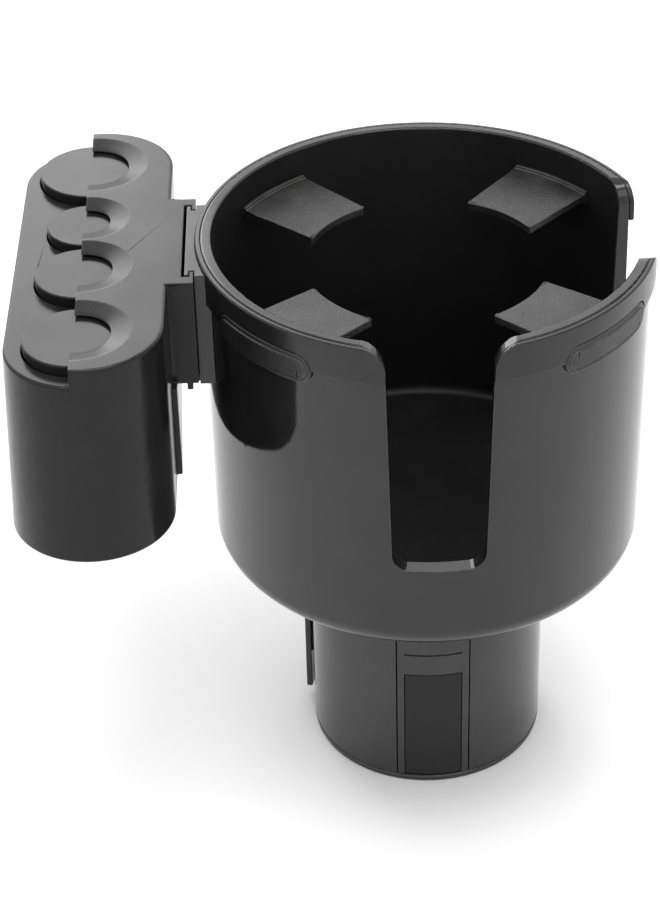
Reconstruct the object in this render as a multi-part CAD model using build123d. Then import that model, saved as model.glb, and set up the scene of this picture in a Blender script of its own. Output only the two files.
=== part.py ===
from build123d import *
import math
import os

# Cup holder expander with a coin box on its side, in millimetres.
# The origin is on the cup's axis, on the face that the base stands on, with +Z up.
# The front handle notch faces -Y, the side notch faces +X, and the coin box hangs at -X.

# Base that goes into the vehicle's holder
BASE_R = 32.8
BASE_WALL = 3.6
BASE_TOP = 67.9
BASE_DECK = 3.0
BASE_CAP_T = 2.0
CAP_SEAT_Z = 4.0
CAP_PLUG_TOP = 11.2
CAP_PLUG_FIT = 0.2
BASE_SEAM = 0.1
BASE_EDGE = 0.4
BASE_SEAM_EDGE = 0.3
POST_R = 3.8
POST_BELOW_CAM = 11.0
POST_IN_WALL = 0.4
POST_ANGLES = (90.0, 210.0, 330.0)

# Cam disc that drives the jaws when the cup is turned
CAM_FIT = 0.8
CAM_T = 5.4
CAM_GAP = 0.5
CAM_SWEEP = 80.0
CAM_PIN_R = 2.0
CAM_PIN_INSET = 11.4
CAM_PIN_SHORT = 2.2
CAM_SLOT_FIT = 0.2
HUB_BEYOND_PINS = 1.0
HUB_FIT = 0.3
HUB_SCREW_INSET = 9.5

# Jaws that grip the vehicle's holder, and how far each is out at rest
JAW_ANGLES = {"front": 270.0, "rear_right": 30.0, "rear_left": 150.0}
JAW_REST_OUT = {"front": 0.0, "rear_right": 0.0, "rear_left": 3.6}
JAW_TRAVEL = 4.0
JAW_T = 1.7
JAW_HALF_ANGLE = 17.8
JAW_LIFT = 0.2
JAW_BELOW_CAM = 5.0
JAW_GROOVE_DOWN = 8.0
JAW_GROOVE = 0.6
JAW_FIT = 0.3
JAW_SIDE_FIT = 0.55
STEM_W = 10.0
STEM_DOWN = 1.0
STEM_LIFT = 0.8
STEM_BEHIND_PIN = 3.5
STEM_FIT = 0.15
GUIDE_T = 1.8
GUIDE_BEYOND_PIN = 1.5
PAD_HALF_ANGLE = 14.2
PAD_T = 0.6
PAD_RECESS = 0.4
PAD_DOWN = 15.3
PAD_FIT = 0.05
PAD_TOP_FIT = 0.5

# Cup
CUP_GAP = 0.3
CUP_INNER_TOP_R = 55.8
CUP_INNER_DRAFT = 2.3
CUP_WALL = 2.85
CUP_DRAFT = 0.4
CUP_EDGE_R = 7.4
CUP_FOOT_H = 8.3
CUP_DEPTH = 85.9
CUP_FLOOR_T = 4.0
CUP_FLOOR_FILLET = 2.5
FOOT_HUB_WALL = 2.5
FOOT_RIB = 3.0
FOOT_RIB_INSET = 0.3
FOOT_RIM = 10.25
RIM_ROUND = 0.6

# Handle notches through the wall: turn from -Y, half width at the sill and at the rim
NOTCHES = {"front": (0.0, 12.0, 13.5), "side": (92.9, 14.4, 16.3)}
NOTCH_SILL_H = 18.8
NOTCH_SILL_FILLET = 4.5
NOTCH_RIM_FILLET = 6.4

# Collar band round the outside of the rim
COLLAR_T = 1.25
COLLAR_H = 10.0
COLLAR_DOWN = 0.2
COLLAR_FIT = 0.05
COLLAR_EDGE = 0.35

# Rubber grip tabs
TAB_ANGLES = {"front_right": -42.3, "rear_right": 47.3, "rear_left": 137.3, "front_left": 222.3}
TAB_DOWN = 9.7
TAB_T = 2.1
TAB_DROOP = 0.7
TAB_REACH = 23.8
TAB_HALF_TIP = 10.6
TAB_HALF_ROOT = 12.1
TAB_TIP_ROUND = 0.8
TAB_SLOT_FIT = 0.1
TAB_LIP_T = 1.1
TAB_LIP_H = 0.8
TAB_LIP_FIT = 0.1
HEAD_DOWN = 0.5
HEAD_LENGTH = 32.9
HEAD_H = 8.0
HEAD_PANEL_INSET = 1.3
HEAD_PANEL_PROUD = 0.3
HEAD_FIT = 0.35

# Slide joint between the coin box and the cup
CHANNEL_FIT = 0.1
CHANNEL_HALF = 21.7
CHANNEL_LENGTH = 30.05
CHANNEL_BASE_T = 3.6
CHANNEL_ARM_T = 3.5
CHANNEL_DEPTH = 3.0
CHANNEL_LIP_T = 1.0
CHANNEL_LIP_REACH = 2.4
CHANNEL_LUG_T = 1.5
CHANNEL_LUG_H = 1.9
WALL_PAD_T = 1.05
WALL_PAD_WIDER = 3.3
WALL_PAD_RISE = 14.5
SLIDE_SLIT = 0.7
SLIDE_FIT = 0.2
FLANGE_T = 1.1
WEB_INSET = 6.2
BRACKET_INSET = 3.45
LEDGE_H = 2.5
LEDGE_REACH = 2.6

# Coin slots from the front to the rear: radius of each plunger, and the space between neighbours
SLOT_RADII = {"front": 13.2, "mid_front": 12.2, "mid_rear": 10.5, "rear": 14.2}
SLOT_SPACES = (5.05, 1.75, 4.7)
SLOT_SHIFT = 0.25
SLOT_OFFSET = 1.8

# Coin box
BOX_BELOW_RIM = 6.2
BOX_HEIGHT = 51.9
BOX_MARGIN = 5.7
BOX_END_INSET = 1.45
BOX_FLARE = 0.9
BOX_LEAN = 1.2
BOX_WALL = 1.8
BOX_DECK = 2.0
BOX_EDGE = 0.8
PLATEAU_H = 4.85
PLATEAU_OFFSET = 2.5
TUBE_WALL = 1.0
TUBE_WEB = 5.0
BOX_COVER_T = 2.0
BOX_COVER_INSET = 0.2
BOX_COVER_FIT = 0.15
BOX_POST_R = 3.1
BOX_POST_INSET = 5.3
BOX_POST_OVERLAPS = (1.5, 0.2)

# Plungers and their springs
PLUNGER_PROUD = 2.7
PLUNGER_FIT = 0.3
PLUNGER_TOP_T = 2.0
PLUNGER_SKIRT = 7.0
PLUNGER_SKIRT_T = 1.2
PLUNGER_EDGE = 0.25
LIP_GAP = 0.6
LIP_EDGE_T = 0.5
LIP_OUTSIDE = 0.6
LIP_COVERS = 4.5
SPRING_WIRE_R = 0.5
SPRING_INSET = 2.9
SPRING_TURNS = 5
SPRING_GAP = 0.05
SPIGOT_H = 2.0
SPIGOT_GAP = 0.6

# How far a cutter starts inside the wall that it cuts through
CUTTER_REACH = 8.0

# Screws
SCREW_R = 1.5
SCREW_HEAD_R = 2.75
SCREW_HEAD_H = 2.2
SCREW_FIT = 0.05
SCREW_HEAD_FIT = 0.15
SCREW_SUNK = 0.3
SCREW_MOUTH = 6.0
BASE_SCREW_L = 14.0
CAM_SCREW_L = 11.0
SMALL_SCREW_R = 1.2
SMALL_HEAD_R = 2.3
SMALL_HEAD_H = 1.2
SMALL_SCREW_L = 9.0
BRACKET_SCREW_L = 5.8
BRACKET_SCREW_UP = 10.0
BRACKET_SCREW_Y = 8.5

# Places in the base that follow from the sizes above
UP = (Align.CENTER, Align.CENTER, Align.MIN)
DECK_Z = BASE_TOP - BASE_DECK
CAM_TOP = DECK_Z - CAM_GAP
CAM_Z = CAM_TOP - CAM_T
HOUSING_Z = BASE_CAP_T + BASE_SEAM
POST_BOTTOM = CAP_SEAT_Z + BASE_SEAM
BASE_INNER_R = BASE_R - BASE_WALL
POST_CIRCLE = BASE_INNER_R - POST_R + POST_IN_WALL
POST_TOP = CAM_Z - POST_BELOW_CAM
CAM_R = BASE_INNER_R - CAM_FIT
CAM_PIN_CIRCLE = CAM_R - CAM_PIN_INSET
CAM_PIN_TOP = CAM_TOP - CAM_PIN_SHORT
HUB_R = CAM_PIN_CIRCLE + HUB_BEYOND_PINS
CAM_SCREW_CIRCLE = HUB_R - HUB_SCREW_INSET
JAW_BOTTOM = HOUSING_Z + JAW_LIFT
JAW_TOP = CAM_Z - JAW_BELOW_CAM
JAW_GROOVE_Z = JAW_TOP - JAW_GROOVE_DOWN
JAW_INNER_R = BASE_R - JAW_T
JAW_RECESS_R = JAW_INNER_R - JAW_FIT
PAD_TOP = JAW_TOP - PAD_DOWN
STEM_TOP = JAW_TOP - STEM_DOWN
STEM_BOTTOM = CAP_PLUG_TOP + STEM_LIFT
STEM_INNER_R = CAM_PIN_CIRCLE - STEM_BEHIND_PIN
GUIDE_INNER_R = CAM_PIN_CIRCLE + GUIDE_BEYOND_PIN

# Places on the cup
CUP_BOTTOM = BASE_TOP + CUP_GAP
CUP_FLOOR_Z = CUP_BOTTOM + CUP_FOOT_H
RIM_Z = CUP_FLOOR_Z + CUP_DEPTH
CUP_INNER_BOTTOM_R = CUP_INNER_TOP_R - CUP_INNER_DRAFT
CUP_TOP_R = CUP_INNER_TOP_R + CUP_WALL
CUP_BOTTOM_R = CUP_TOP_R - CUP_DRAFT
FOOT_RIB_R = BASE_R - FOOT_RIB_INSET
FOOT_RINGS = ((HUB_R + FOOT_HUB_WALL, FOOT_RIB_R - FOOT_RIB / 2),
              (FOOT_RIB_R + FOOT_RIB / 2, CUP_BOTTOM_R - FOOT_RIM))
NOTCH_SILL_Z = CUP_FLOOR_Z + NOTCH_SILL_H
COLLAR_R = CUP_TOP_R + COLLAR_T
COLLAR_TOP = RIM_Z - COLLAR_DOWN
COLLAR_BOTTOM = COLLAR_TOP - COLLAR_H
TAB_Z = RIM_Z - TAB_DOWN
TAB_INNER_R = CUP_INNER_TOP_R - TAB_REACH
HEAD_Z = TAB_Z - HEAD_DOWN
FAR = COLLAR_R * 1.5

# Places on the slide joint and the coin box
BOX_TOP = RIM_Z - BOX_BELOW_RIM
BOX_BOTTOM = BOX_TOP - BOX_HEIGHT
PLATEAU_Z = BOX_TOP + PLATEAU_H
CHANNEL_BOTTOM = PLATEAU_Z - CHANNEL_LENGTH
CHANNEL_X = -(COLLAR_R + CHANNEL_FIT + CHANNEL_DEPTH)
WEB_HALF = CHANNEL_HALF - WEB_INSET
BRACKET_HALF = CHANNEL_HALF - BRACKET_INSET
BRACKET_SCREW_Z = CHANNEL_BOTTOM + BRACKET_SCREW_UP
BOX_TOP_R = max(SLOT_RADII.values()) + BOX_MARGIN
BOX_BOTTOM_R = BOX_TOP_R + BOX_FLARE
BOX_X = CHANNEL_X - CHANNEL_BASE_T - BOX_TOP_R
WALL_PAD_X = BOX_X + BOX_TOP_R + WALL_PAD_T
WALL_PAD_HALF = CHANNEL_HALF + WALL_PAD_WIDER
PLATEAU_X = BOX_X - PLATEAU_OFFSET
SLOT_X = BOX_X - SLOT_OFFSET
PLUNGER_Z = BOX_TOP + PLUNGER_PROUD
LIP_Z = PLUNGER_Z + LIP_GAP
COVER_Z = BOX_BOTTOM + BOX_COVER_INSET
COVER_TOP = COVER_Z + BOX_COVER_T


def slots_in_a_row():
    """Each coin slot's place along Y and its plunger's radius, in a row with the given spaces."""
    names = list(SLOT_RADII)
    places = [0.0]
    for before, after, space in zip(names, names[1:], SLOT_SPACES):
        places.append(places[-1] + SLOT_RADII[before] + space + SLOT_RADII[after])
    middle = places[-1] / 2 - SLOT_SHIFT
    return {name: (place - middle, SLOT_RADII[name]) for name, place in zip(names, places)}


COIN_SLOTS = slots_in_a_row()
BOX_HALF_STRAIGHT = (COIN_SLOTS["rear"][0] - COIN_SLOTS["front"][0]) / 2 - BOX_END_INSET
BOX_POST_YS = (COIN_SLOTS["front"][0] + SLOT_RADII["front"] + BOX_POST_OVERLAPS[0],
               COIN_SLOTS["rear"][0] - SLOT_RADII["rear"] + BOX_POST_OVERLAPS[1])
BOX_POST_HALF = BOX_TOP_R - BOX_POST_INSET


def turned(shape, angle):
    """The shape, made on +X, turned about the cup's axis by an angle in degrees."""
    return Rot(0, 0, angle) * shape


def disc(radius, low, high, x=0.0, y=0.0):
    """An upright cylinder between two heights."""
    return Pos(x, y, low) * Cylinder(radius, high - low, align=UP)


def block(x0, x1, y0, y1, z0, z1):
    """A box between two corners."""
    centre = Pos((x0 + x1) / 2, (y0 + y1) / 2, (z0 + z1) / 2)
    return centre * Box(abs(x1 - x0), abs(y1 - y0), abs(z1 - z0))


def sector(inner, outer, half_angle, low, high):
    """A piece of a round wall, centred on +X, whose ends point at the axis."""
    reach = outer * 1.5
    side = reach * math.tan(math.radians(half_angle))
    wedge = make_face(Polyline((0, 0), (reach, -side), (reach, side), close=True))
    ring = disc(outer, low, high) - disc(inner, low - 1, high + 1)
    return ring & (Pos(0, 0, low) * extrude(wedge, high - low))


def revolved(points):
    """The solid of revolution of a closed outline of (radius, height) points."""
    outline = make_face(Polyline(*[(r, 0, z) for r, z in points], close=True))
    return revolve(outline, Axis.Z)


def stadium(radius, shift=0.0):
    """The coin box's outline in plan, long along Y."""
    outline = Rectangle(2 * radius, 2 * BOX_HALF_STRAIGHT)
    for side in (-1, 1):
        outline += Pos(0, side * BOX_HALF_STRAIGHT) * Circle(radius)
    return Pos(BOX_X - shift, 0) * outline


def box_section(z, inset=0.0):
    """The coin box's drafted outline at one height: it widens downwards, mostly away from the cup."""
    share = (BOX_TOP - z) / (BOX_TOP - BOX_BOTTOM)
    radius = BOX_TOP_R + (BOX_BOTTOM_R - BOX_TOP_R) * share - inset
    return Pos(0, 0, z) * stadium(radius, BOX_LEAN * share)


def box_block(low, high, inset=0.0):
    """The drafted coin box between two heights."""
    return loft([box_section(low, inset), box_section(high, inset)], ruled=True)


def screw(radius, length, head_r, head_h):
    """A screw that points up, with its head's face at zero."""
    return disc(head_r, 0, head_h) + disc(radius, head_h, head_h + length)


def screw_hole(radius, length, head_r, head_h):
    """The counterbored clearance hole of such a screw, open below."""
    return disc(head_r + SCREW_HEAD_FIT, -5, head_h) + disc(radius + SCREW_HEAD_FIT, -5, length)


def jaw_window():
    """The opening in the base's wall through which one jaw's stem slides."""
    half = STEM_W / 2 + STEM_FIT
    return block(GUIDE_INNER_R - 1, BASE_R + 1, -half, half, STEM_BOTTOM - STEM_FIT, STEM_TOP + STEM_FIT)


def jaw_guide():
    """Two rails inside the base's wall that keep one jaw's stem straight."""
    half = STEM_W / 2 + STEM_FIT + GUIDE_T
    return block(GUIDE_INNER_R, BASE_INNER_R + 0.5, -half, half, STEM_BOTTOM - STEM_FIT, STEM_TOP + STEM_FIT)


def jaw_recess():
    """The shallow seat of one jaw in the base's outside, open at the bottom."""
    side = JAW_HALF_ANGLE + JAW_SIDE_FIT
    return sector(JAW_RECESS_R, BASE_R + 1, side, HOUSING_Z - 1, JAW_TOP + JAW_SIDE_FIT)


def base_housing():
    """Round housing with a recess and a guided window for each jaw, and a deck on top."""
    body = disc(BASE_R, HOUSING_Z, BASE_TOP)
    body = chamfer(body.edges().group_by(Axis.Z)[-1], BASE_EDGE)
    body = chamfer(body.edges().group_by(Axis.Z)[0], BASE_SEAM_EDGE)
    body -= disc(BASE_INNER_R, HOUSING_Z - 1, DECK_Z)
    body -= disc(HUB_R + HUB_FIT, DECK_Z - 1, BASE_TOP + 1)
    for angle in JAW_ANGLES.values():
        body += turned(jaw_guide(), angle)
        body -= turned(jaw_recess() + jaw_window(), angle)
    for angle in POST_ANGLES:
        post = disc(POST_R, POST_BOTTOM, POST_TOP, x=POST_CIRCLE)
        hole = disc(SCREW_R + SCREW_FIT, POST_BOTTOM - 1, POST_BOTTOM + BASE_SCREW_L, x=POST_CIRCLE)
        body += turned(post, angle)
        body -= turned(hole, angle)
    return body


def base_cap():
    """Plate that closes the base from below, with a thick round plug and a seat for each post.

    The plug keeps the weight low, because the coin box pulls to one side.
    """
    body = disc(BASE_R, 0, BASE_CAP_T)
    body = chamfer(body.edges().group_by(Axis.Z)[0], BASE_EDGE)
    body = chamfer(body.edges().group_by(Axis.Z)[-1], BASE_SEAM_EDGE)
    body += disc(BASE_INNER_R - CAP_PLUG_FIT, BASE_CAP_T - 1, CAP_PLUG_TOP)
    hole = screw_hole(SCREW_R, CAP_SEAT_Z + 1, SCREW_HEAD_R, SCREW_SUNK + SCREW_HEAD_H)
    seat = disc(POST_R + CAP_PLUG_FIT, CAP_SEAT_Z, CAP_PLUG_TOP + 1, x=POST_CIRCLE)
    for angle in POST_ANGLES:
        body -= turned(Pos(POST_CIRCLE, 0, 0) * hole, angle) + turned(seat, angle)
    return body


def base_screws():
    """Three screws that hold the cap to the housing's posts."""
    one = Pos(POST_CIRCLE, 0, SCREW_SUNK) * screw(SCREW_R, BASE_SCREW_L, SCREW_HEAD_R, SCREW_HEAD_H)
    return [turned(one, angle) for angle in POST_ANGLES]


def jaw(name):
    """Curved gripping plate with a guided stem and the pin that the cam drives."""
    floor_r = BASE_R - PAD_RECESS - PAD_T - PAD_FIT
    edge = PAD_HALF_ANGLE + 0.2
    body = sector(JAW_INNER_R, BASE_R, JAW_HALF_ANGLE, JAW_BOTTOM, JAW_TOP)
    body -= sector(floor_r, BASE_R + 1, edge, JAW_BOTTOM - 1, PAD_TOP + PAD_TOP_FIT)
    body -= sector(BASE_R - JAW_GROOVE, BASE_R + 1, edge, JAW_GROOVE_Z, JAW_GROOVE_Z + JAW_GROOVE)
    stem = block(STEM_INNER_R, BASE_R, -STEM_W / 2, STEM_W / 2, STEM_BOTTOM, STEM_TOP)
    body += stem & disc(JAW_INNER_R + 0.3, STEM_BOTTOM, STEM_TOP)
    body += disc(CAM_PIN_R, STEM_TOP - 1, CAM_PIN_TOP, x=CAM_PIN_CIRCLE)
    return turned(Pos(JAW_REST_OUT[name], 0, 0) * body, JAW_ANGLES[name])


def jaw_pad(name):
    """Rubber facing in a jaw's pocket."""
    outer = BASE_R - PAD_RECESS
    body = sector(outer - PAD_T, outer, PAD_HALF_ANGLE, JAW_BOTTOM + PAD_FIT, PAD_TOP)
    return turned(Pos(JAW_REST_OUT[name], 0, 0) * body, JAW_ANGLES[name])


def cam_slot(name):
    """Spiral slot that pushes one jaw's pin out as the cup turns counterclockwise."""
    start = CAM_PIN_CIRCLE + JAW_REST_OUT[name]
    half = CAM_PIN_R + CAM_SLOT_FIT
    shares = [step / 8 for step in range(9)]

    def place(share, shift):
        radius = start + JAW_TRAVEL * share + shift
        angle = math.radians(JAW_ANGLES[name] - CAM_SWEEP * share)
        return (radius * math.cos(angle), radius * math.sin(angle))

    inside = Spline(*[place(share, -half) for share in shares])
    outside = Spline(*[place(share, half) for share in shares])
    outline = make_face([inside, Line(inside @ 1, outside @ 1), outside, Line(inside @ 0, outside @ 0)])
    cutter = Pos(0, 0, CAM_Z - 1) * extrude(outline, CAM_T + 2)
    for share in (0, 1):
        x, y = place(share, 0)
        cutter += disc(half, CAM_Z - 1, CAM_TOP + 1, x=x, y=y)
    return cutter


def cam_disc():
    """Disc under the deck, screwed to the cup's hub, with one spiral slot for each jaw."""
    body = disc(CAM_R, CAM_Z, CAM_TOP)
    for name in JAW_ANGLES:
        body -= cam_slot(name)
    hole = screw_hole(SCREW_R, CAM_T + 1, SCREW_HEAD_R, SCREW_SUNK + SCREW_HEAD_H)
    for angle in POST_ANGLES:
        body -= turned(Pos(CAM_SCREW_CIRCLE, 0, CAM_Z) * hole, angle)
    return body


def cam_screws():
    """Three screws that hold the cam disc to the cup's hub."""
    one = screw(SCREW_R, CAM_SCREW_L, SCREW_HEAD_R, SCREW_HEAD_H)
    one = Pos(CAM_SCREW_CIRCLE, 0, CAM_Z + SCREW_SUNK) * one
    return [turned(one, angle) for angle in POST_ANGLES]


def notch_cutter(half_sill, half_top):
    """A handle notch on -Y: sill with round corners, drafted sides, flared at the rim."""
    slope = (half_top - half_sill) / (RIM_Z - NOTCH_SILL_Z)
    top = RIM_Z - NOTCH_RIM_FILLET
    half = half_sill + slope * (top - NOTCH_SILL_Z)
    well = make_face(Polyline((-half_sill, NOTCH_SILL_Z), (half_sill, NOTCH_SILL_Z),
                              (half, top), (-half, top), close=True))
    well = fillet(well.vertices().group_by(Axis.Y)[0], NOTCH_SILL_FILLET)
    wide = half + NOTCH_RIM_FILLET
    mouth = Pos(0, (top + RIM_Z + 1) / 2) * Rectangle(2 * wide, RIM_Z + 1 - top)
    for side in (-1, 1):
        mouth -= Pos(side * wide, top) * Circle(NOTCH_RIM_FILLET)
    return extrude(Plane.XZ * (well + mouth), FAR)


def notched(body):
    """The body with both handle notches cut through it."""
    for angle, half_sill, half_top in NOTCHES.values():
        body -= turned(notch_cutter(half_sill, half_top), angle)
    return body


def bracket_screw(fit=0.0, head_fit=0.0, mouth=0.0):
    """Countersunk screw that points to -X from its head's face at the origin, or its hole."""
    head_r = SCREW_HEAD_R + head_fit
    thread_r = SCREW_R + fit
    tip = BRACKET_SCREW_L + 3 * fit
    outline = [(0, -mouth), (head_r, -mouth), (head_r, 0), (thread_r, SCREW_HEAD_H),
               (thread_r, tip), (0, tip)]
    return Rot(0, -90, 0) * revolved(outline if mouth else outline[:1] + outline[2:])


def bracket_screw_places():
    """Where the two bracket screws sit in the cup's inner wall."""
    share = (BRACKET_SCREW_Z - CUP_FLOOR_Z) / (RIM_Z - CUP_FLOOR_Z)
    wall = CUP_INNER_BOTTOM_R + (CUP_INNER_TOP_R - CUP_INNER_BOTTOM_R) * share
    face = math.sqrt(wall ** 2 - (BRACKET_SCREW_Y + SCREW_HEAD_R) ** 2) + SCREW_SUNK
    return [Pos(-face - 0.5, side * BRACKET_SCREW_Y, BRACKET_SCREW_Z) for side in (-1, 1)]


def bracket_screws():
    """Two screws that hold the slide bracket, put in from inside the cup."""
    return [place * bracket_screw() for place in bracket_screw_places()]


def bracket_screw_holes():
    """The holes of both bracket screws, open towards the cup's inside."""
    hole = bracket_screw(SCREW_FIT, SCREW_HEAD_FIT, SCREW_MOUTH)
    first, second = [place * hole for place in bracket_screw_places()]
    return first + second


def head_cutter(grow, inner, outer):
    """A tab head's long round-ended outline on +X, between two radii."""
    outline = Plane.YZ * SlotOverall(HEAD_LENGTH + 2 * grow, HEAD_H + 2 * grow)
    prism = Pos(inner - CUTTER_REACH, 0, HEAD_Z) * extrude(outline, 2.5 * CUTTER_REACH)
    low = HEAD_Z - HEAD_H
    high = HEAD_Z + HEAD_H
    return prism & (disc(outer, low, high) - disc(inner, low - 1, high + 1))


def cup_shell():
    """The cup's wall, floor and hub as turned shapes."""
    body = revolved([(0, CAM_TOP), (HUB_R, CAM_TOP), (HUB_R, CUP_BOTTOM), (CUP_BOTTOM_R, CUP_BOTTOM),
                     (CUP_TOP_R, RIM_Z), (0, RIM_Z)])
    corner = body.edges().filter_by(GeomType.CIRCLE).filter_by(lambda e: abs(e.radius - CUP_BOTTOM_R) < 0.01)
    body = fillet(corner, CUP_EDGE_R)
    inner = revolved([(0, CUP_FLOOR_Z), (CUP_INNER_BOTTOM_R, CUP_FLOOR_Z), (CUP_INNER_TOP_R, RIM_Z),
                      (CUP_INNER_TOP_R, RIM_Z + 2), (0, RIM_Z + 2)])
    inner = fillet(inner.edges().group_by(Axis.Z)[0], CUP_FLOOR_FILLET)
    body -= inner
    body = fillet(body.edges().group_by(Axis.Z)[-1], RIM_ROUND)
    for ring_in, ring_out in FOOT_RINGS:
        low = CUP_BOTTOM - 1
        high = CUP_FLOOR_Z - CUP_FLOOR_T
        body -= disc(ring_out, low, high) - disc(ring_in, low - 1, high + 1)
    return body


def cup_body():
    """Moulded cup with two handle notches, four tab slots and the screw holes."""
    body = notched(cup_shell())
    half = TAB_HALF_ROOT + TAB_SLOT_FIT
    tall = TAB_T / 2 + TAB_SLOT_FIT
    slot = block(CUP_INNER_TOP_R - CUTTER_REACH, COLLAR_R + CUTTER_REACH, -half, half,
                 TAB_Z - tall, TAB_Z + tall)
    for angle in TAB_ANGLES.values():
        body -= turned(slot, angle)
    hole = disc(SCREW_R + SCREW_FIT, CAM_TOP - 1, CAM_Z + SCREW_SUNK + SCREW_HEAD_H + CAM_SCREW_L + 0.3,
                x=CAM_SCREW_CIRCLE)
    for angle in POST_ANGLES:
        body -= turned(hole, angle)
    return body - bracket_screw_holes()


def collar_parts():
    """The collar's short and long pieces, which the two handle notches part."""
    inner = CUP_TOP_R + COLLAR_FIT
    ring = disc(COLLAR_R, COLLAR_BOTTOM, COLLAR_TOP) - disc(inner, COLLAR_BOTTOM - 1, COLLAR_TOP + 1)
    ring = notched(chamfer(ring.edges().filter_by(GeomType.CIRCLE).sort_by(SortBy.RADIUS)[-2:], COLLAR_EDGE))
    for angle in TAB_ANGLES.values():
        ring -= turned(head_cutter(HEAD_FIT, inner - 1, COLLAR_R + 3), angle)
    return ring.solids().sort_by(SortBy.VOLUME)


def tab_lip():
    """Bar round a tongue where it leaves the wall, which keeps the tab from being pulled outwards."""
    share = (TAB_Z - CUP_FLOOR_Z) / (RIM_Z - CUP_FLOOR_Z)
    wall = CUP_INNER_BOTTOM_R + (CUP_INNER_TOP_R - CUP_INNER_BOTTOM_R) * share
    half_angle = math.degrees(math.asin(TAB_HALF_ROOT / wall))
    reach = TAB_T / 2 + TAB_LIP_H
    outer = wall - TAB_LIP_FIT
    return sector(outer - TAB_LIP_T, outer, half_angle, TAB_Z - reach, TAB_Z + reach)


def tab_profile():
    """Side view of a tongue on +X: level at the wall and sagging towards the tip."""
    tip = TAB_INNER_R - 3
    middle = (CUP_INNER_TOP_R + tip) / 2
    top = TAB_Z + TAB_T / 2
    sag = (TAB_DROOP, TAB_DROOP * 0.3)
    upper = ThreePointArc((tip, 0, top - sag[0]), (middle, 0, top - sag[1]), (CUP_INNER_TOP_R, 0, top))
    lower = ThreePointArc((tip, 0, top - TAB_T - sag[0]), (middle, 0, top - TAB_T - sag[1]),
                          (CUP_INNER_TOP_R, 0, top - TAB_T))
    ends = [Line(upper @ 0, lower @ 0), Line(upper @ 1, lower @ 1)]
    return make_face([upper, ends[0], lower, ends[1]])


def grip_tab(angle):
    """Rubber tab: a long head outside the wall, a flat neck, and a tongue that sags into the cup."""
    tongue = extrude(tab_profile(), TAB_HALF_ROOT * 2, both=True)
    plan = make_face(Polyline((TAB_INNER_R - 4, -TAB_HALF_TIP), (CUP_INNER_TOP_R, -TAB_HALF_ROOT),
                              (CUP_INNER_TOP_R, TAB_HALF_ROOT), (TAB_INNER_R - 4, TAB_HALF_TIP), close=True))
    plan -= Circle(TAB_INNER_R)
    plan = fillet(plan.vertices().sort_by(Axis.X)[:2], TAB_TIP_ROUND)
    tongue &= Pos(0, 0, TAB_Z - CUTTER_REACH) * extrude(plan, 2 * CUTTER_REACH)
    outer = CUP_TOP_R + COLLAR_FIT
    low = TAB_Z - TAB_T / 2
    neck = block(CUP_INNER_TOP_R - 0.01, outer + 1, -TAB_HALF_ROOT, TAB_HALF_ROOT, low, low + TAB_T)
    neck &= disc(outer + 0.3, low - 1, low + TAB_T + 1)
    head = head_cutter(0, outer, COLLAR_R)
    head += head_cutter(-HEAD_PANEL_INSET, outer, COLLAR_R + HEAD_PANEL_PROUD)
    return turned(tongue + tab_lip() + neck + head, angle)


def slide_bracket():
    """T-shaped slide on the cup's -X side, with two ledges that carry the coin box."""
    flange_x = CHANNEL_X + SLIDE_SLIT
    wall_x = CHANNEL_X + CHANNEL_DEPTH + SLIDE_FIT
    flange_half = CHANNEL_HALF - CHANNEL_ARM_T - SLIDE_FIT * 3
    ledge = WEB_HALF + LEDGE_REACH / 2
    low = CHANNEL_BOTTOM - LEDGE_H
    body = block(flange_x, flange_x + FLANGE_T, -flange_half, flange_half, CHANNEL_BOTTOM, PLATEAU_Z)
    body += block(flange_x, wall_x, -WEB_HALF, WEB_HALF, low, PLATEAU_Z)
    body += block(wall_x, -CUP_INNER_TOP_R + CUTTER_REACH, -BRACKET_HALF, BRACKET_HALF, low, PLATEAU_Z)
    body += block(flange_x, wall_x, -ledge, ledge, low, CHANNEL_BOTTOM - COLLAR_FIT)
    body -= disc(CUP_TOP_R + COLLAR_FIT, low - 1, COLLAR_BOTTOM + 1)
    body -= disc(COLLAR_R + COLLAR_FIT, COLLAR_BOTTOM - COLLAR_FIT, PLATEAU_Z + 1)
    return body - bracket_screw_holes()


def box_channel():
    """C-shaped channel on the coin box's side that slides over the bracket."""
    arm = CHANNEL_HALF - CHANNEL_ARM_T
    front = CHANNEL_X + CHANNEL_DEPTH
    body = block(BOX_X + BOX_TOP_R - 1, CHANNEL_X, -CHANNEL_HALF, CHANNEL_HALF, CHANNEL_BOTTOM, PLATEAU_Z)
    for side in (-1, 1):
        outside = side * CHANNEL_HALF
        body += block(CHANNEL_X, front, side * arm, outside, CHANNEL_BOTTOM, PLATEAU_Z)
        body += block(front - CHANNEL_LIP_T, front, side * (arm - CHANNEL_LIP_REACH), outside,
                      CHANNEL_BOTTOM, PLATEAU_Z)
        body += block(CHANNEL_X, CHANNEL_X + CHANNEL_LUG_T, outside - side * CHANNEL_LUG_T, outside,
                      CHANNEL_BOTTOM - CHANNEL_LUG_H, CHANNEL_BOTTOM + 0.5)
    return body


def wall_pad():
    """Thicker field on the coin box's side under the channel, with a notch up its middle."""
    low = BOX_BOTTOM + BOX_EDGE / 2
    high = CHANNEL_BOTTOM + 0.5
    outline = make_face(Polyline((-WALL_PAD_HALF, low), (0, low + WALL_PAD_RISE), (WALL_PAD_HALF, low),
                                 (WALL_PAD_HALF, high), (-WALL_PAD_HALF, high), close=True))
    back = BOX_X + BOX_TOP_R - BOX_WALL / 2
    return Pos(back, 0, 0) * extrude(Plane.YZ * outline, WALL_PAD_X - back)


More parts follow.
